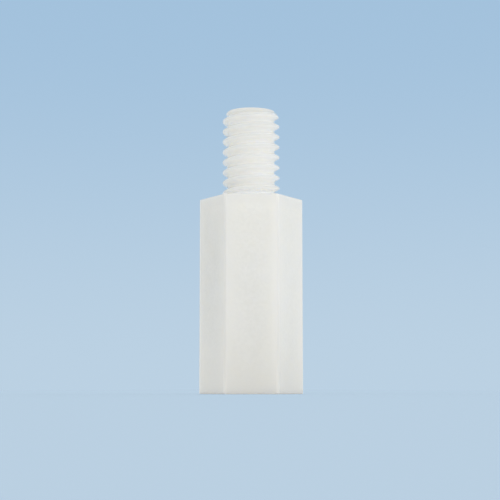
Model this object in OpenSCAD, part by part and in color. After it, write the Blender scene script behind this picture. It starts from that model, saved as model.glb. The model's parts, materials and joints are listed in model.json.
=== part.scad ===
// Male-female hexagon standoff, moulded in one piece.
// It stands on the open end of its hexagon, with the threaded stud up. The origin is at the middle
// of that end, +Z runs up the axis, two flats face +Y and -Y, and two long edges lie on +X and -X.

/* [Hexagon body] */
// Width of the hexagon across its flats
across_flats = 6; // [5:0.5:8]
// Length of the hexagon, from its open end to the shoulder
body_length = 13; // [11:0.5:40]
// Radius along the six long edges
long_edge_radius = 0.15; // [0.05:0.05:0.4]
// Bevel round the hexagon at both ends
end_bevel = 0.08; // [0.02:0.02:0.3]

/* [Thread] */
// Pitch of the stud's thread
pitch = 0.7; // [0.6:0.05:0.9]
// Depth of the thread, from crest to root
thread_depth = 0.35; // [0.2:0.05:0.4]
// Radius of the rounded crest
crest_radius = 0.09; // [0.03:0.01:0.1]
// Where round the axis a crest passes the shoulder's height, in degrees
start_angle = 320; // [0:5:355]
// Flat facets in one turn of the thread
turn_facets = 36; // [24:4:48]

/* [Stud] */
// Diameter of the stud over its crests
stud_diameter = 3.85; // [3:0.05:4.6]
// Length of the stud above the shoulder
stud_length = 6; // [3:0.5:12]
// Height of the plain collar that the thread runs out into
collar_height = 0.25; // [0.15:0.05:0.6]
// Chamfer at the end of the stud, measured inwards
end_chamfer = 0.35; // [0.2:0.05:0.5]
// Length of that chamfer along the stud
end_chamfer_length = 0.45; // [0.2:0.05:0.8]

/* [Tapped hole] */
// Diameter of the hole between the crests of its thread
hole_diameter = 3.3; // [2.7:0.05:4]
// Depth of the hole up to its tapered end
hole_depth = 9; // [4:0.5:10]
// Height of the tapered end above that depth
hole_end_taper = 0.5; // [0.2:0.1:0.9]
// Countersink at the mouth of the hole, measured outwards
mouth_chamfer = 0.4; // [0.2:0.05:0.6]

/* [Hidden] */

$fn = 96;                                   // facets of a round surface
edge_fn = 32;                               // facets of the small rounding on a long edge
hexagon = 6;                                // sides
half_side_angle = 180 / hexagon;            // from the middle of a flat to the next corner
overlap = 0.01;                             // how far a cutter runs past the face it opens

flank_angle = 30;                           // of each flank, from square to the axis
flank_slope = tan(flank_angle);             // widening of the ridge per unit of depth
crest_steps = 4;                            // facets of the rounded crest
ridge_sink = 0.03;                          // how far the ridge is rooted in the core
ridge_inset = 0.005;                        // keeps crests just under the collar's wall
turn_gap = 0.005;                           // least width between two turns of the ridge

stud_radius = stud_diameter / 2;
core_radius = stud_radius - thread_depth;
ridge_depth = thread_depth + ridge_sink - ridge_inset;  // from its crest to its sunk foot
crest_room = ((pitch - turn_gap) / 2 - ridge_depth * flank_slope) * cos(flank_angle) / (1 - sin(flank_angle));
crest_rounding = min(crest_radius, crest_room);         // a fine pitch leaves less room for it
stud_foot = 2 * pitch;                      // how deep the stud is rooted in the hexagon
collar_taper = thread_depth * flank_slope;  // the collar falls to the core like a flank
cone_margin = 0.2;                          // room round the crests inside the cone that ends them

// Distance from the axis to the corners of a hexagon, from the distance to its flats
function corner_radius(flat_distance) = flat_distance / cos(half_side_angle);

// Outline of the hexagon, with its six corners rounded
module rounded_hexagon() {
    offset(r = long_edge_radius, $fn = edge_fn)
        circle(r = corner_radius(across_flats / 2 - long_edge_radius), $fn = hexagon);
}

// Six-sided funnel that trims the lower end of the prism to a 45 degree bevel
module end_trim() {
    bottom = across_flats / 2 - end_bevel - overlap;
    height = body_length + 2 * overlap;
    translate([0, 0, -overlap])
        cylinder(h = height, r1 = corner_radius(bottom), r2 = corner_radius(bottom + height), $fn = hexagon);
}

// Six-sided prism, bevelled at both ends
module hexagon_body() {
    intersection() {
        linear_extrude(body_length) rounded_hexagon();
        end_trim();
        translate([0, 0, body_length]) mirror([0, 0, 1]) end_trim();
    }
}

// Half of the ridge's width at a depth below its crest
function ridge_half_width(depth) =
    crest_rounding * cos(flank_angle) + (depth - crest_rounding * (1 - sin(flank_angle))) * flank_slope;

// Section of the ridge as [distance from the axis, height]: two straight flanks and a round crest
function ridge_section() =
    let (crest = stud_radius - ridge_inset,
         root = core_radius - ridge_sink,
         half_width = ridge_half_width(crest - root),
         crest_angle = 90 - flank_angle)
    concat(
        [[root, -half_width]],
        [for (i = [0 : crest_steps])
            let (a = crest_angle * (2 * i / crest_steps - 1))
            [crest - crest_rounding * (1 - cos(a)), crest_rounding * sin(a)]],
        [[root, half_width]]);

// The ridge: its section carried up a right-hand helix, from one height to another
module thread_ridge(bottom, top) {
    section = ridge_section();
    count = len(section);
    first = floor(bottom / pitch * turn_facets);
    last = ceil(top / pitch * turn_facets);
    rings = last - first;
    points = [for (i = [first : last], p = section)
        let (a = start_angle + i * 360 / turn_facets)
        [p[0] * cos(a), p[0] * sin(a), p[1] + i * pitch / turn_facets]];
    sides = [for (i = [0 : rings - 1], k = [0 : count - 1])
        let (a = i * count + k, b = i * count + (k + 1) % count)
        each [[a, b + count, a + count], [a, b, b + count]]];
    start_cap = [for (k = [count - 1 : -1 : 0]) k];
    end_cap = [for (k = [0 : count - 1]) rings * count + k];
    polyhedron(points, concat(sides, [start_cap, end_cap]));
}

// Room that the threaded core may fill: clear of the crests, and coned at the free end
module stud_envelope() {
    outer = stud_radius + cone_margin;
    cone_height = (end_chamfer + cone_margin) * end_chamfer_length / end_chamfer;
    translate([0, 0, -stud_foot]) cylinder(h = stud_foot + stud_length - cone_height, r = outer);
    translate([0, 0, stud_length - cone_height])
        cylinder(h = cone_height, r1 = outer, r2 = stud_radius - end_chamfer);
}

// Core and thread, with the collar at their foot; z = 0 is the shoulder
module stud() {
    intersection() {
        union() {
            translate([0, 0, -stud_foot]) cylinder(h = stud_foot + stud_length, r = core_radius);
            thread_ridge(-pitch, stud_length + pitch);
        }
        stud_envelope();
    }
    translate([0, 0, -stud_foot]) cylinder(h = stud_foot + collar_height, r = stud_radius);
    translate([0, 0, collar_height]) cylinder(h = collar_taper, r1 = stud_radius, r2 = core_radius);
}

// Blind hole in the open end, with a countersunk mouth and a tapered end
module tapped_hole() {
    hole_radius = hole_diameter / 2;
    mouth_radius = hole_radius + mouth_chamfer;
    translate([0, 0, -overlap]) cylinder(h = hole_depth + overlap, r = hole_radius);
    translate([0, 0, -overlap])
        cylinder(h = mouth_chamfer + overlap, r1 = mouth_radius + overlap, r2 = hole_radius);
    translate([0, 0, hole_depth])
        cylinder(h = hole_end_taper, r1 = hole_radius, r2 = hole_radius - hole_end_taper);
}

module hex_standoff() {
    color([0.89, 0.89, 0.87])
    difference() {
        union() {
            hexagon_body();
            translate([0, 0, body_length]) stud();
        }
        tapped_hole();
    }
}

hex_standoff();
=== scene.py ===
# A male-female hex standoff, moulded in one piece of natural nylon, on a plain pale floor.
# Lengths are in metres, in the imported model's frame: it stands on z = 0 and its axis is +Z.
import json
import math
import bmesh
import bpy
import numpy as np
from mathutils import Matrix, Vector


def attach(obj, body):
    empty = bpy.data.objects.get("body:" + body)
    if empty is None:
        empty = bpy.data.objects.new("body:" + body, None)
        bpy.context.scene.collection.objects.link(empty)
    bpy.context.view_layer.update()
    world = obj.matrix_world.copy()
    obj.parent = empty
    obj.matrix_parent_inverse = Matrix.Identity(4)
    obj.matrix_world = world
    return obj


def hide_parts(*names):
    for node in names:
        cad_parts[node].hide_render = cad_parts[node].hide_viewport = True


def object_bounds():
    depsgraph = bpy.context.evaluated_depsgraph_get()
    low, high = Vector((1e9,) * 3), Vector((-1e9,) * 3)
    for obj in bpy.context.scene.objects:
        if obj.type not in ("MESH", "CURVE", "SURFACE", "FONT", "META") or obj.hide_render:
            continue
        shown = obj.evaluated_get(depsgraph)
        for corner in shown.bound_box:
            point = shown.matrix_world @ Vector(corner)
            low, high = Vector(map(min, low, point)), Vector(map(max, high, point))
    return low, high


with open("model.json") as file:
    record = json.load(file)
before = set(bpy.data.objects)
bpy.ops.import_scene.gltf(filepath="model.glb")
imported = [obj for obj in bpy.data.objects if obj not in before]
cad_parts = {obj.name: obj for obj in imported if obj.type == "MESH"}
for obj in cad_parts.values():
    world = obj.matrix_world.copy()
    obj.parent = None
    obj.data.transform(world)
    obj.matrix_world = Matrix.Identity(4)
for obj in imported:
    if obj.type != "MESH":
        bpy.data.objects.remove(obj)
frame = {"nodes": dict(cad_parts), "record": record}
cadLow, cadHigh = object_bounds()
mounts = {mount["name"]: mount for mount in frame["record"]["mounts"]}
mm = 0.001
print("frame loaded, with nodes", sorted(frame["nodes"]))


standoff = {
    "edgeRadius": 0.15 * mm,       # along the six long edges
    "endRadius": 0.08 * mm,        # round the hexagon at both ends
    "flatDip": 0.012 * mm,         # how far the nylon shrank in the middle of each flat
    "dipAcross": 1.5,              # a larger power keeps the dip to the middle of the flat
    "dipAlong": 6,                 # a larger power carries it closer to the ends
    "pitch": 0.7 * mm,
    "threadDepth": 0.35 * mm,      # of the stud's thread, from crest to root
    "crestRadius": 0.09 * mm,
    "rootRadius": 0.16 * mm,
    "crestBearing": 320,           # degrees round from +X where a crest passes the shoulder
    "collarHeight": 0.25 * mm,     # plain land that the thread runs out into
    "collarBlend": 0.05 * mm,      # rounding where the thread meets that land
    "footFillet": 0.05 * mm,       # between the shoulder and that land
    "chamferIn": 0.35 * mm,        # cone at the end of the stud
    "chamferUp": 0.45 * mm,
    "chamferBlend": 0.04 * mm,     # rounding where the thread meets that cone
    "endEdgeRadius": 0.05 * mm,    # between that cone and the end face
    "endEdgeRise": 0.6,            # height of that rounding, as a share of its radius
    "endEdgeStep": 0.01 * mm,      # how far inside the cone it starts
    "tapDepth": 0.35 * mm,         # of the thread in the hole
    "tapCrestRadius": 0.07 * mm,
    "tapRootRadius": 0.06 * mm,
    "tapRunOut": 0.7 * mm,         # length over which it fades at the blind end
    "holeTaper": 0.5 * mm,         # cone above that, to a flat end
    "mouthChamfer": 0.4 * mm,      # countersink
    "mouthBlend": 0.03 * mm,       # rounding where the thread meets it
    "columnsOnFlat": 16,
    "columnsOnEdge": 8,
    "columnCrowding": 1.6,         # over 1, a flat's columns stand closer by its edges
    "studRowsPerTurn": 24,
    "holeRowsPerTurn": 12,
    "sideRows": 25,                # up each flat
    "sideRowInset": 0.004,         # the first of them above the rounded end, as a share of the flat
    "weld": 0.0001 * mm,           # vertices closer than this become one
}


def polarColumns(flatDistance, size):
    # Bearings round the axis at which every ring has a vertex. In one sixth they follow the outline
    # of the rounded hexagon: steps along each half flat that shorten towards the edge by a power, and
    # equal steps round the edge.
    edgeRadius = size["edgeRadius"]
    edgeCentre = (flatDistance - edgeRadius) / math.cos(math.pi / 6)
    halfFlat = (flatDistance - edgeRadius) * math.tan(math.pi / 6)
    steps = np.linspace(0, 1, size["columnsOnFlat"] // 2 + 1)[:-1]
    alongFlat = halfFlat * (1 - (1 - steps) ** size["columnCrowding"])
    flatBearings = np.arctan2(alongFlat, flatDistance)          # from the middle of a flat to its end
    turn = np.linspace(-math.pi / 6, math.pi / 6, size["columnsOnEdge"] + 1)
    edgeBearings = np.arctan2(edgeRadius * np.sin(turn), edgeCentre + edgeRadius * np.cos(turn))
    sector = np.concatenate([flatBearings - math.pi / 6, edgeBearings,
                             math.pi / 6 - flatBearings[:0:-1]])
    return np.sort(np.concatenate([sector + k * math.pi / 3 for k in range(6)]) % (2 * math.pi))


def hexagonRadius(bearing, flatDistance, edgeRadius, inset):
    # Distance from the axis to the rounded hexagon drawn inset by a little: on a flat, the flat's
    # distance over the cosine of the bearing from its middle; near a long edge, where the ray meets
    # the edge's circle.
    fromEdge = (bearing + math.pi / 6) % (math.pi / 3) - math.pi / 6
    fromFlat = bearing % (math.pi / 3) - math.pi / 6
    edgeCentre = (flatDistance - edgeRadius) / math.cos(math.pi / 6)
    small = edgeRadius - inset
    flat = (flatDistance - inset) / np.cos(fromFlat)
    under = np.maximum(small ** 2 - (edgeCentre * np.sin(fromEdge)) ** 2, 0)
    edge = edgeCentre * np.cos(fromEdge) + np.sqrt(under)
    reach = np.arctan2(small * 0.5, edgeCentre + small * math.cos(math.pi / 6))
    return np.where(np.abs(fromEdge) < reach, edge, flat)


def threadDrop(distance, crestRadius, rootRadius, depth):
    # How far a 60 degree thread lies below its crest, by distance along the axis from the crest: a
    # circle over the crest, a straight flank at 30 degrees, a circle that eases into the root, then
    # the plain root.
    slope = math.tan(math.pi / 6)
    crestEnd = crestRadius * math.cos(math.pi / 6)
    crestDrop = crestRadius * 0.5
    flankEnd = crestEnd + (depth - crestDrop) * slope
    filletEnd = flankEnd + rootRadius * slope
    filletStart = flankEnd - rootRadius * slope * 0.5
    crest = crestRadius - np.sqrt(np.maximum(crestRadius ** 2 - distance ** 2, 0))
    flank = crestDrop + (distance - crestEnd) / slope
    rootArc = np.sqrt(np.maximum(rootRadius ** 2 - (filletEnd - distance) ** 2, 0))
    fillet = depth - rootRadius + rootArc
    drop = np.where(distance < crestEnd, crest, np.where(distance < filletStart, flank, fillet))
    return np.where(distance > filletEnd, depth, drop)


def fromCrest(bearing, height, size):
    # Distance along the axis to the nearest crest of a right-hand helix, whose crest passes height 0
    # at the crest's bearing: the part of a turn left over, folded at half a turn, times the pitch.
    turns = height / size["pitch"] - (bearing - math.radians(size["crestBearing"])) / (2 * math.pi)
    return np.abs((turns + 0.5) % 1 - 0.5) * size["pitch"]


def softMin(a, b, blend):
    # The smaller of two values, less a quarter of the squared overlap over the blend near where they
    # cross, which rounds the step from one to the other.
    return np.minimum(a, b) - np.maximum(blend - np.abs(a - b), 0) ** 2 / (4 * blend)


def softMax(a, b, blend):
    # The larger of two values, rounded in the same way.
    return -softMin(-a, -b, blend)


def helixHeights(bearing, start, end, perTurn, origin, size):
    # Heights of rows that climb by the pitch in a turn, so that every perTurn-th row is a crest line,
    # flattened onto the start and end heights of the band. Rows run upwards, one array row each.
    pitch = size["pitch"]
    climb = (bearing - math.radians(size["crestBearing"])) / (2 * math.pi)
    first = math.floor(((start - origin) / pitch - climb.max()) * perTurn)
    last = math.ceil(((end - origin) / pitch - climb.min()) * perTurn)
    rows = np.arange(first, last + 1)[:, None] / perTurn
    return np.clip(origin + pitch * (rows + climb[None, :]), start, end)


def ringBand(bearing, radii, heights):
    # Rows of vertices at radius times cosine and sine of the bearing, and at the height. Each row's
    # radius and height may be one value or one value a column.
    radii = np.asarray([np.broadcast_to(r, bearing.shape) for r in radii])
    heights = np.asarray([np.broadcast_to(h, bearing.shape) for h in heights])
    return np.stack([radii * np.cos(bearing), radii * np.sin(bearing), heights], axis=-1)


def bandFaces(points, offset, shift):
    # Four-sided faces between neighbouring rows and columns. The last column joins the first one,
    # shift rows further on, which is how a band of helical rows closes.
    rows, columns = points.shape[:2]
    index = np.arange(rows * columns).reshape(rows, columns) + offset
    wrap = np.clip(np.arange(rows) + shift, 0, rows - 1)
    beside = np.concatenate([index[:, 1:], index[wrap, :1]], axis=1)
    quads = np.stack([index[:-1], beside[:-1], beside[1:], index[1:]], axis=-1)
    return quads.reshape(-1, 4)


def weldedMesh(name, bands, weld):
    # Joins the bands into one mesh: vertices that lie together become one, and the faces that this
    # flattens disappear.
    points = np.concatenate([band.reshape(-1, 3) for band, shift in bands])
    starts = np.cumsum([0] + [band.shape[0] * band.shape[1] for band, shift in bands])
    faces = np.concatenate([bandFaces(band, start, shift)
                            for (band, shift), start in zip(bands, starts)])
    mesh = bpy.data.meshes.new(name)
    mesh.from_pydata(points.tolist(), [], faces.tolist())
    work = bmesh.new()
    work.from_mesh(mesh)
    bmesh.ops.remove_doubles(work, verts=work.verts, dist=weld)
    bmesh.ops.dissolve_degenerate(work, edges=work.edges, dist=weld)
    bmesh.ops.triangulate(work, faces=[face for face in work.faces if len(face.verts) > 4])
    work.to_mesh(mesh)
    openEdges = sum(1 for edge in work.edges if len(edge.link_faces) != 2)
    triangles = sum(len(face.verts) - 2 for face in work.faces)
    work.free()
    print(f"{name}: {triangles} triangles, {openEdges} open edges")
    mesh.shade_smooth()
    return mesh


def makeStandoff(size):
    # One surface from the blind end of the hole, down its thread, out over the open end, up the
    # hexagon, in over the shoulder, up the stud and in to the middle of its end.
    flat = cadHigh.y
    top = cadHigh.z
    hole = mounts["tapped_hole"]
    shoulder = mounts["shoulder"]["pos_m"][2]
    studRadius = mounts["stud_collar"]["dims"]["r_mm"] * mm
    holeRadius = hole["dims"]["r_mm"] * mm
    holeTop = hole["pos_m"][2] + hole["dims"]["length_mm"] * mm / 2
    bearing = polarColumns(flat, size)

    def outline(inset=0.0):
        return np.minimum(hexagonRadius(bearing, flat, size["edgeRadius"], inset), cadHigh.x)

    # blind end of the hole: flat, then a cone
    blindRadius = holeRadius - size["holeTaper"]
    spread = np.linspace(0, 1, 6)
    blindEnd = ringBand(bearing, blindRadius * spread,
                        np.full(len(spread), holeTop + size["holeTaper"]))
    taper = ringBand(bearing, blindRadius + size["holeTaper"] * spread,
                     holeTop + size["holeTaper"] * (1 - spread))

    # thread in the hole, cut through by the countersink
    heights = helixHeights(bearing, 0, holeTop, size["holeRowsPerTurn"], shoulder, size)
    distance = fromCrest(bearing, heights - shoulder, size)
    # its ridges are the gaps of a stud's thread, so the root's radius comes first
    drop = threadDrop(distance, size["tapRootRadius"], size["tapCrestRadius"], size["tapDepth"])
    cut = size["tapDepth"] - drop
    fade = np.clip((holeTop - heights) / size["tapRunOut"], 0, 1)
    mouthRadius = holeRadius + size["mouthChamfer"]
    radii = softMax(holeRadius + cut * fade * fade * (3 - 2 * fade), mouthRadius - heights,
                    size["mouthBlend"])
    radii = np.where(heights <= 0, mouthRadius, np.where(heights >= holeTop, holeRadius, radii))
    holeThread = ringBand(bearing, radii, heights)[::-1]

    # open end, from the countersink to the hexagon's rounded lower edge
    ease = np.array([0, 0.04, 0.3, 0.65, 0.94, 1])
    openRows = [mouthRadius + (outline(size["endRadius"]) - mouthRadius) * e for e in ease]
    openEnd = ringBand(bearing, openRows, np.zeros(len(ease)))

    # sides of the hexagon, each flat dipping a little between its edges and its ends
    turn = np.linspace(0, math.pi / 2, 5)
    inset = size["endRadius"] * (1 - np.sin(turn))
    rise = size["endRadius"] * (1 - np.cos(turn))
    up = np.linspace(0, 1, size["sideRows"])
    up = np.concatenate([[size["sideRowInset"]], up[1:-1], [1 - size["sideRowInset"]]])
    sideHeights = size["endRadius"] + (shoulder - 2 * size["endRadius"]) * up
    fromFlat = np.tan(bearing % (math.pi / 3) - math.pi / 6) / math.tan(math.pi / 6)
    dip = size["flatDip"] * np.clip(1 - fromFlat ** 2, 0, 1) ** size["dipAcross"]
    sides = ([outline(i) for i in inset]
             + [outline() - dip * (1 - (2 * u - 1) ** size["dipAlong"]) for u in up]
             + [outline(i) for i in inset[::-1]])
    hexagon = ringBand(bearing, sides, [*rise, *sideHeights, *(shoulder - rise[::-1])])

    # shoulder, to the fillet at the foot of the stud
    footRadius = studRadius + size["footFillet"]
    ease = np.array([0, 0.06, 0.35, 0.7, 0.96])
    rim = outline(size["endRadius"])
    shoulderRows = [rim + (footRadius - rim) * e for e in ease]
    filletRows = list(footRadius - size["footFillet"] * np.sin(turn))
    filletHeights = list(shoulder + size["footFillet"] * (1 - np.cos(turn)))
    shoulderBand = ringBand(bearing, shoulderRows + filletRows,
                            [shoulder] * len(ease) + filletHeights)

    # thread on the stud, rising out of its collar and cut off by the cone at its end
    studFoot = shoulder + size["footFillet"]
    studEnd = top - size["endEdgeRadius"] * size["endEdgeRise"]
    heights = helixHeights(bearing, studFoot, studEnd, size["studRowsPerTurn"], shoulder, size)
    distance = fromCrest(bearing, heights - shoulder, size)
    drop = threadDrop(distance, size["crestRadius"], size["rootRadius"], size["threadDepth"])
    overCollar = np.maximum(heights - shoulder - size["collarHeight"], 0)
    collar = studRadius - overCollar / math.tan(math.pi / 6)
    radii = np.minimum(softMax(studRadius - drop, collar, size["collarBlend"]), studRadius)
    coneSlope = size["chamferIn"] / size["chamferUp"]
    cone = studRadius - size["chamferIn"] + (top - heights) * coneSlope
    radii = softMin(radii, cone, size["chamferBlend"])
    coneEnd = studRadius - size["chamferIn"] + (top - studEnd) * coneSlope
    lastRadius = coneEnd - size["endEdgeStep"]
    radii = np.where(heights >= studEnd, lastRadius,
                     np.where(heights <= studFoot, studRadius, radii))
    studThread = ringBand(bearing, radii, heights)

    # end of the stud: a small rounding, then flat to the middle
    turn = np.linspace(0, math.pi / 2, 4)
    flatRadius = lastRadius - size["endEdgeRadius"]
    flatRows = list(flatRadius * np.array([0.97, 0.7, 0.35, 0]))
    endRows = list(flatRadius + size["endEdgeRadius"] * np.cos(turn)) + flatRows
    endHeights = list(studEnd + (top - studEnd) * np.sin(turn)) + [top] * len(flatRows)
    studEndBand = ringBand(bearing, endRows, endHeights)

    # each band with the rows that its last column is ahead of its first
    bands = [(blindEnd, 0), (taper, 0), (holeThread, -size["holeRowsPerTurn"]), (openEnd, 0),
             (hexagon, 0), (shoulderBand, 0), (studThread, size["studRowsPerTurn"]),
             (studEndBand, 0)]
    piece = bpy.data.objects.new("nylonStandoff", weldedMesh("nylonStandoff", bands, size["weld"]))
    bpy.context.collection.objects.link(piece)
    return piece


def linear(colour):
    # sRGB values to the linear ones that Blender's colour sockets hold.
    c = np.asarray(colour, float)
    c = np.where(c <= 0.04045, c / 12.92, ((c + 0.055) / 1.055) ** 2.4)
    return (*map(float, c), 1.0)


def emptyTree(owner):
    # The node tree of a material or world, with nothing in it.
    owner.use_nodes = True
    owner.node_tree.nodes.clear()
    return owner.node_tree


def fillSockets(tree, sockets, values):
    # An output socket is linked to its input; anything else becomes the input's value.
    for socket, value in zip(sockets, values):
        if isinstance(value, bpy.types.NodeSocket):
            tree.links.new(value, socket)
        else:
            socket.default_value = value


def addNode(tree, kind, where, **inputs):
    # A node with its inputs set by name, with _ for a space.
    node = tree.nodes.new(kind)
    node.location = where
    fillSockets(tree, [node.inputs[name.replace("_", " ")] for name in inputs], inputs.values())
    return node


def mapRange(tree, where, value, low, high, start=0.0, end=1.0, smooth=False):
    # The value carried from the range start to end over to low to high, and held at its ends.
    node = addNode(tree, "ShaderNodeMapRange", where, Value=value, From_Min=start, From_Max=end,
                   To_Min=low, To_Max=high)
    node.interpolation_type = "SMOOTHSTEP" if smooth else "LINEAR"
    return node.outputs["Result"]


def mathNode(tree, where, operation, *values):
    node = addNode(tree, "ShaderNodeMath", where)
    node.operation = operation
    fillSockets(tree, node.inputs, values)
    return node.outputs[0]


def vectorLength(tree, where, vector):
    node = addNode(tree, "ShaderNodeVectorMath", where)
    node.operation = "LENGTH"
    tree.links.new(vector, node.inputs[0])
    return node.outputs["Value"]


def mixColour(tree, where, share, first, second):
    # First colour where the share is 0, second where it is 1.
    node = addNode(tree, "ShaderNodeMix", where)
    node.data_type = "RGBA"
    fillSockets(tree, (node.inputs[0], node.inputs[6], node.inputs[7]), (share, first, second))
    return node.outputs[2]


def mixShader(tree, where, share, first, second):
    # First shader where the share is 0, second where it is 1.
    node = addNode(tree, "ShaderNodeMixShader", where)
    fillSockets(tree, node.inputs, (share, first.outputs[0], second.outputs[0]))
    return node


# Every colour is sRGB. A pair whose name ends in Ends holds the two distances between which a tone
# changes.
nylon = {
    "paleColour": (0.945, 0.941, 0.928),     # where the nylon is clearest
    "cloudColour": (0.927, 0.923, 0.907),    # in its faint clouds
    "cloudScale": 290,                       # clouds per metre
    "cloudStretch": 0.7,                     # below 1, they are drawn out along the axis
    "cloudRange": (0.3, 0.7),                # of the noise, from clear to cloudy
    "speckle": 0.030,                        # how much its fine crystalline speckle darkens it
    "speckleScale": 5200,
    "speckleRange": (0.35, 0.65),            # of the noise, from dark to clear
    "rootColour": (0.962, 0.959, 0.950),     # painted light in the root of the stud's thread, against the shade there
    "flankColour": (0.950, 0.947, 0.937),    # painted light on its flanks, against their shade
    "crestColour": (0.893, 0.890, 0.876),    # painted shade along its crests, against their brightness
    "rootEnds": (0.31 * mm, 0.22 * mm),      # below the crest, from root to flank
    "flankEnds": (0.045 * mm, 0.008 * mm),   # below the crest, from flank to crest
    "threadShare": 0.90,                     # how far that painted light and shade covers the clouds
    "threadStart": 0.2 * mm,                 # height over which they come in above the shoulder
    "endColour": (0.908, 0.905, 0.890),      # painted shade on the cone and the end of the stud, which face up
    "endEnds": (0.5 * mm, 0.2 * mm),         # below the stud's end
    "footColour": (0.990, 0.990, 0.982),     # painted light where the stud stands on the shoulder, against the shade in that corner
    "footEnds": (0.30 * mm, 0.70 * mm),      # away from that corner
    "footWidth": 0.12 * mm,                  # how far out over the shoulder it goes
    "edgeColour": (0.922, 0.918, 0.905),     # painted shade towards the long edges
    "edgeWidth": 0.42 * mm,                  # inwards from the edge
    "wornColour": (0.885, 0.881, 0.871),     # painted shade on the rounding of those edges
    "wornEnds": (0.06 * mm, 0.01 * mm),      # inwards from the edge
    "wornRoughness": 0.5,
    "rimColour": (0.898, 0.894, 0.880),      # painted shade along the hexagon's upper rim
    "rimWidth": 0.90 * mm,                   # down from the shoulder
    "rimEnds": (0.7 * mm, 0.2 * mm),         # inwards from the flats
    "baseColour": (0.915, 0.911, 0.897),     # painted shade round the open end, darker towards the bottom
    "baseHeight": 2.8 * mm,
    "roughness": (0.17, 0.25),               # where it is clear, and in its clouds
    "grainScale": 16000,                     # of the mould's fine grain
    "grainDepth": 0.0012 * mm,
    "flowScale": 1500,                       # of the soft waves that flowing nylon leaves
    "flowDepth": 0.004 * mm,
    "refraction": 1.53,
    "scatterReach": 1.5 * mm,                # how far light travels inside it
    "scatterTint": (1.0, 0.96, 0.86),        # of that reach, for red, green and blue
}


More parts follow.
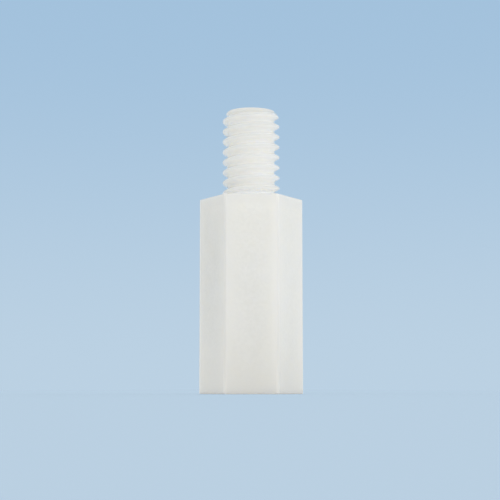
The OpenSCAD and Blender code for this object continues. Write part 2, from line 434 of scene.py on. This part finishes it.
def makeNylon(look):
    # Milky nylon that light scatters through, toned by height and by distance from the axis, with
    # light and shade painted into that tone.
    material = bpy.data.materials.new("naturalNylon")
    tree = emptyTree(material)
    shoulder = mounts["shoulder"]["pos_m"][2]
    crest = mounts["stud_collar"]["dims"]["r_mm"] * mm
    here = addNode(tree, "ShaderNodeTexCoord", (-1900, 0)).outputs["Object"]

    # faint clouds in the milky nylon, drawn out along the axis as it flowed, and a fine speckle
    stretch = addNode(tree, "ShaderNodeMapping", (-1700, 300), Vector=here,
                      Scale=(1, 1, look["cloudStretch"])).outputs[0]
    clouds = addNode(tree, "ShaderNodeTexNoise", (-1500, 300), Vector=stretch,
                     Scale=look["cloudScale"], Detail=3.0, Roughness=0.5, Distortion=0.8).outputs[0]
    cloudShare = mapRange(tree, (-1300, 300), clouds, 0.0, 1.0, *look["cloudRange"])
    cloudy = mixColour(tree, (-1100, 300), cloudShare, linear(look["paleColour"]),
                       linear(look["cloudColour"]))
    speck = addNode(tree, "ShaderNodeTexNoise", (-1500, 550), Vector=here,
                    Scale=look["speckleScale"], Detail=1.0, Roughness=0.6).outputs[0]
    speckShare = mapRange(tree, (-1300, 550), speck, 1.0 - look["speckle"], 1.0,
                          *look["speckleRange"])
    shade = addNode(tree, "ShaderNodeVectorMath", (-900, 400))
    shade.operation = "SCALE"
    fillSockets(tree, (shade.inputs[0], shade.inputs["Scale"]), (cloudy, speckShare))

    # distance from the axis, and height
    split = addNode(tree, "ShaderNodeSeparateXYZ", (-1700, -50), Vector=here)
    across = addNode(tree, "ShaderNodeCombineXYZ", (-1500, 0), X=split.outputs["X"],
                     Y=split.outputs["Y"])
    radius = vectorLength(tree, (-1300, 0), across.outputs[0])
    height = split.outputs["Z"]

    # the stud's thread: painted light in its roots and on its flanks, painted shade along its crests
    onFlank = mapRange(tree, (-1100, 50), radius, 0.0, 1.0,
                       *(crest - depth for depth in look["rootEnds"]), smooth=True)
    onCrest = mapRange(tree, (-1100, -50), radius, 0.0, 1.0,
                       *(crest - depth for depth in look["flankEnds"]), smooth=True)
    onStud = mapRange(tree, (-1100, -150), height, 0.0, look["threadShare"], shoulder,
                      shoulder + look["threadStart"])
    thread = mixColour(tree, (-950, 100), onFlank, linear(look["rootColour"]),
                       linear(look["flankColour"]))
    thread = mixColour(tree, (-850, 100), onCrest, thread, linear(look["crestColour"]))
    colour = mixColour(tree, (-750, 300), onStud, shade.outputs[0], thread)
    # painted shade on the cone and the end of the stud
    endShadeShare = mapRange(tree, (-1100, -300), height, 0.0, 1.0,
                     *(cadHigh.z - depth for depth in look["endEnds"]), smooth=True)
    colour = mixColour(tree, (-650, 300), endShadeShare, colour, linear(look["endColour"]))

    # painted light, palest in the corner where the stud stands on the shoulder, by distance from that
    # corner
    footUp = mathNode(tree, (-1500, -300), "SUBTRACT", height, shoulder)
    footOut = mathNode(tree, (-1500, -450), "SUBTRACT", radius, crest)
    upSquared = mathNode(tree, (-1350, -300), "MULTIPLY", footUp, footUp)
    outSquared = mathNode(tree, (-1350, -450), "MULTIPLY", footOut, footOut)
    footSquared = mathNode(tree, (-1200, -450), "ADD", upSquared, outSquared)
    footAway = mathNode(tree, (-1050, -450), "SQRT", footSquared)
    nearFoot = mapRange(tree, (-900, -450), footAway, 1.0, 0.0, *look["footEnds"], smooth=True)
    inFoot = mapRange(tree, (-900, -600), radius, 1.0, 0.0, crest, crest + look["footWidth"])
    footLightShare = mathNode(tree, (-750, -500), "MULTIPLY", nearFoot, inFoot)
    colour = mixColour(tree, (-550, 300), footLightShare, colour, linear(look["footColour"]))

    # painted shade towards the long edges, on their rounding, along the upper rim and round the open
    # end
    edgeRadius = standoff["edgeRadius"]
    corner = (cadHigh.y - edgeRadius) / math.cos(math.pi / 6) + edgeRadius
    edge = mapRange(tree, (-700, 0), radius, 0.0, 1.0, corner - look["edgeWidth"], corner)
    colour = mixColour(tree, (-400, 300), edge, colour, linear(look["edgeColour"]))
    # painted shade on the rounding of the long edges, which the same share also makes rougher
    wearAndShade = mapRange(tree, (-700, -350), radius, 0.0, 1.0,
                    *(corner - depth for depth in look["wornEnds"]), smooth=True)
    colour = mixColour(tree, (-350, 300), wearAndShade, colour, linear(look["wornColour"]))
    outside = mapRange(tree, (-700, 150), radius, 0.0, 1.0,
                       *(cadHigh.y - depth for depth in look["rimEnds"]))
    nearRim = mapRange(tree, (-700, 450), height, 0.0, 1.0, shoulder - look["rimWidth"], shoulder)
    rim = mathNode(tree, (-500, 450), "MULTIPLY", outside, nearRim)
    colour = mixColour(tree, (-300, 300), rim, colour, linear(look["rimColour"]))
    nearBaseShade = mapRange(tree, (-500, 600), height, 1.0, 0.0, 0.0, look["baseHeight"])
    colour = mixColour(tree, (-250, 300), nearBaseShade, colour, linear(look["baseColour"]))

    # fine grain of the mould over the soft waves, and a sheen that is duller in clouds and on edges
    grain = addNode(tree, "ShaderNodeTexNoise", (-900, -650), Vector=here,
                    Scale=look["grainScale"], Detail=2.0).outputs[0]
    flow = addNode(tree, "ShaderNodeTexNoise", (-900, -850), Vector=stretch,
                   Scale=look["flowScale"], Detail=2.0).outputs[0]
    waves = addNode(tree, "ShaderNodeBump", (-600, -850), Strength=1.0,
                    Distance=look["flowDepth"], Height=flow).outputs[0]
    bump = addNode(tree, "ShaderNodeBump", (-400, -650), Strength=1.0,
                   Distance=look["grainDepth"], Height=grain, Normal=waves).outputs[0]
    sheen = mapRange(tree, (-500, 0), clouds, *look["roughness"], *look["cloudRange"])
    rough = addNode(tree, "ShaderNodeMix", (-350, 0), Factor=wearAndShade, A=sheen,
                    B=look["wornRoughness"]).outputs[0]

    shader = addNode(tree, "ShaderNodeBsdfPrincipled", (-150, 100), Base_Color=colour,
                     Roughness=rough, IOR=look["refraction"], Normal=bump, Subsurface_Weight=1.0,
                     Subsurface_Radius=look["scatterTint"], Subsurface_Scale=look["scatterReach"])
    addNode(tree, "ShaderNodeOutputMaterial", (200, 100), Surface=shader.outputs[0])
    return material


def seenDirectly(tree, where):
    # 1 for rays from the camera, for reflections and for rays through clear things, else 0.
    light = addNode(tree, "ShaderNodeLightPath", (where[0] - 200, where[1])).outputs
    first = mathNode(tree, where, "MAXIMUM", light["Is Camera Ray"], light["Is Glossy Ray"])
    return mathNode(tree, (where[0] + 150, where[1]), "MAXIMUM", first,
                    light["Is Transmission Ray"])


backdrop = {
    "lowColour": (0.735, 0.820, 0.890),    # sRGB, level with the horizon
    "highColour": (0.640, 0.760, 0.865),   # sRGB, above it
    "highAt": 0.30,                        # sine of the elevation where that is reached
    "skyColour": (1.0, 1.0, 0.988),        # sRGB, of the light from all round
    "skyLight": 0.905,                     # strength of that light, level with the horizon
    "skyTop": 0.82,                        # its strength overhead, as a share of that
    "skyBelow": 0.55,                      # its strength underneath, as a share of that
    "belowAt": -0.3,                       # sine of the elevation where that is reached
}


def makeWorld(look):
    # White light from all round; what is seen is a plain colour that deepens a little with height.
    world = bpy.data.worlds.new("studio")
    bpy.context.scene.world = world
    tree = emptyTree(world)
    place = addNode(tree, "ShaderNodeTexCoord", (-1000, 0))
    split = addNode(tree, "ShaderNodeSeparateXYZ", (-800, 0), Vector=place.outputs["Generated"])
    up = split.outputs["Z"]
    rise = mapRange(tree, (-600, -150), up, 0.0, 1.0, 0.0, look["highAt"], smooth=True)
    colour = mixColour(tree, (-400, -150), rise, linear(look["lowColour"]),
                       linear(look["highColour"]))
    seenSky = addNode(tree, "ShaderNodeBackground", (-200, -100), Color=colour, Strength=1.0)
    soften = mapRange(tree, (-600, 100), up, look["skyLight"], look["skyLight"] * look["skyTop"])
    deepen = mapRange(tree, (-600, 350), up, look["skyBelow"], 1.0, look["belowAt"], 0.0,
                      smooth=True)
    strength = mathNode(tree, (-400, 100), "MULTIPLY", soften, deepen)
    whiteSky = addNode(tree, "ShaderNodeBackground", (-200, 100), Color=linear(look["skyColour"]),
                       Strength=strength)
    blend = mixShader(tree, (0, 0), seenDirectly(tree, (-400, 350)), whiteSky, seenSky)
    addNode(tree, "ShaderNodeOutputWorld", (200, 0), Surface=blend.outputs[0])


floorLook = {
    "seenColour": (0.805, 0.897, 0.985),   # sRGB, as it is seen
    "bounceColour": (1.0, 1.0, 1.0),       # sRGB, for the light that it throws back
    "radius": 3.0,
    "opening": 0.10 * mm,                  # how far inside the piece it stops, to light the hole
    "firstCircle": 1.5,                    # radius of the first circle, in distances to a flat
    "circles": 8,
    "fadeStart": 0.05,                     # where it starts to turn into the backdrop
    "fadeEnd": 0.20,
    "gap": 0.004 * mm,                     # under the piece
    "weld": 0.01 * mm,
}


def makeFloor(look, size):
    # A flat ring: its inner edge is the piece's outline drawn inset, and each circle outside that is
    # a fixed number of times as wide as the last.
    flat = cadHigh.y
    bearing = polarColumns(flat, size)
    inner = hexagonRadius(bearing, flat, size["edgeRadius"], look["opening"])
    first = look["firstCircle"] * flat
    circles = first * (look["radius"] / first) ** np.linspace(0, 1, look["circles"])
    points = ringBand(bearing, [inner, *circles], np.full(len(circles) + 1, -look["gap"]))
    floor = bpy.data.objects.new("floor", weldedMesh("floor", [(points[::-1], 0)], look["weld"]))
    bpy.context.collection.objects.link(floor)

    material = bpy.data.materials.new("paleFloor")
    tree = emptyTree(material)
    colour = mixColour(tree, (-500, 300), seenDirectly(tree, (-800, 300)),
                       linear(look["bounceColour"]), linear(look["seenColour"]))
    diffuse = addNode(tree, "ShaderNodeBsdfDiffuse", (-300, 200), Color=colour)
    glow = addNode(tree, "ShaderNodeEmission", (-300, 0), Color=linear(backdrop["lowColour"]))
    here = addNode(tree, "ShaderNodeTexCoord", (-1000, -200)).outputs["Object"]
    reach = vectorLength(tree, (-800, -200), here)
    fade = mapRange(tree, (-600, -200), reach, 0.0, 1.0, look["fadeStart"], look["fadeEnd"],
                    smooth=True)
    blend = mixShader(tree, (-50, 100), fade, diffuse, glow)
    under = addNode(tree, "ShaderNodeNewGeometry", (-50, 300)).outputs["Backfacing"]
    clear = addNode(tree, "ShaderNodeBsdfTransparent", (-50, -50))
    sided = mixShader(tree, (200, 100), under, blend, clear)    # clear when seen from underneath
    addNode(tree, "ShaderNodeOutputMaterial", (400, 100), Surface=sided.outputs[0])
    floor.data.materials.append(material)
    return floor


# A bearing is in degrees, to the right from the side that the camera is on. Aims and patches are in
# millimetres, the rest in metres and watts. A lamp with a patch is round, and its beam fades out over
# a patch of that radius; the others are square boxes.
lamps = {
    "key": {"bearing": 27, "elevation": 14, "distance": 0.09, "size": 0.007, "power": 0.050,
            "colour": (0.985, 0.990, 1.0), "aim": (0.8, 0.0, 10.3), "patch": 10.8, "fade": 0.75},
    "side": {"bearing": 76, "elevation": 12, "distance": 0.30, "size": 0.030, "power": 0.033,
             "colour": (0.965, 0.975, 1.0), "aim": (0.0, 0.0, 11.4)},
}


def makeLamps(wanted):
    # Each stands back from the point that it is aimed at, by its distance, and faces it.
    for name, look in wanted.items():
        lamp = bpy.data.lights.new(name, "SPOT" if "patch" in look else "AREA")
        lamp.energy = look["power"]
        lamp.color = linear(look["colour"])[:3]
        if "patch" in look:
            lamp.shadow_soft_size = look["size"] / 2
            lamp.spot_size = 2 * math.atan(look["patch"] * mm / look["distance"])
            lamp.spot_blend = look["fade"]
        else:
            lamp.shape = "SQUARE"
            lamp.size = look["size"]
        box = bpy.data.objects.new(name, lamp)
        box.visible_glossy = False           # the sheen comes from the room: no lamp glints
        across, lift = math.radians(look["bearing"]), math.radians(look["elevation"])
        away = np.array([math.sin(across) * math.cos(lift), -math.cos(across) * math.cos(lift),
                         math.sin(lift)])
        box.location = np.array(look["aim"]) * mm + away * look["distance"]
        box.rotation_euler = (math.pi / 2 - lift, 0, across)
        bpy.context.collection.objects.link(box)


view = {
    "turn": -0.41,                 # degrees round the axis from straight in front of a flat
    "side": -0.079 * mm,
    "back": 86.51 * mm,
    "height": 0.4 * mm,
    "tilt": 6.072,                 # degrees upwards
    "roll": 0.009,                 # degrees
    "lens": 93.36,                 # millimetres, for a sensor of the width below
    "sensorWidth": 36,
    "nearest": 0.001,              # what lies nearer or farther than these isn't drawn
    "farthest": 20,
}


def makeCamera(place):
    lens = bpy.data.cameras.new("camera")
    lens.lens = place["lens"]
    lens.sensor_width = place["sensorWidth"]
    lens.clip_start = place["nearest"]
    lens.clip_end = place["farthest"]
    camera = bpy.data.objects.new("camera", lens)
    turn = math.radians(place["turn"])
    side, back = place["side"], place["back"]
    camera.location = (side * math.cos(turn) + back * math.sin(turn),
                       side * math.sin(turn) - back * math.cos(turn), place["height"])
    camera.rotation_euler = (math.radians(90 + place["tilt"]), math.radians(place["roll"]), turn)
    bpy.context.collection.objects.link(camera)
    bpy.context.scene.camera = camera


piece = makeStandoff(standoff)
piece.data.materials.append(makeNylon(nylon))
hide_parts("hex_standoff")
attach(piece, "root")
print("standoff moulded")

makeFloor(floorLook, standoff)
makeWorld(backdrop)
makeLamps(lamps)
makeCamera(view)
bpy.context.scene.view_settings.view_transform = "Standard"
print("floor, light and camera placed")
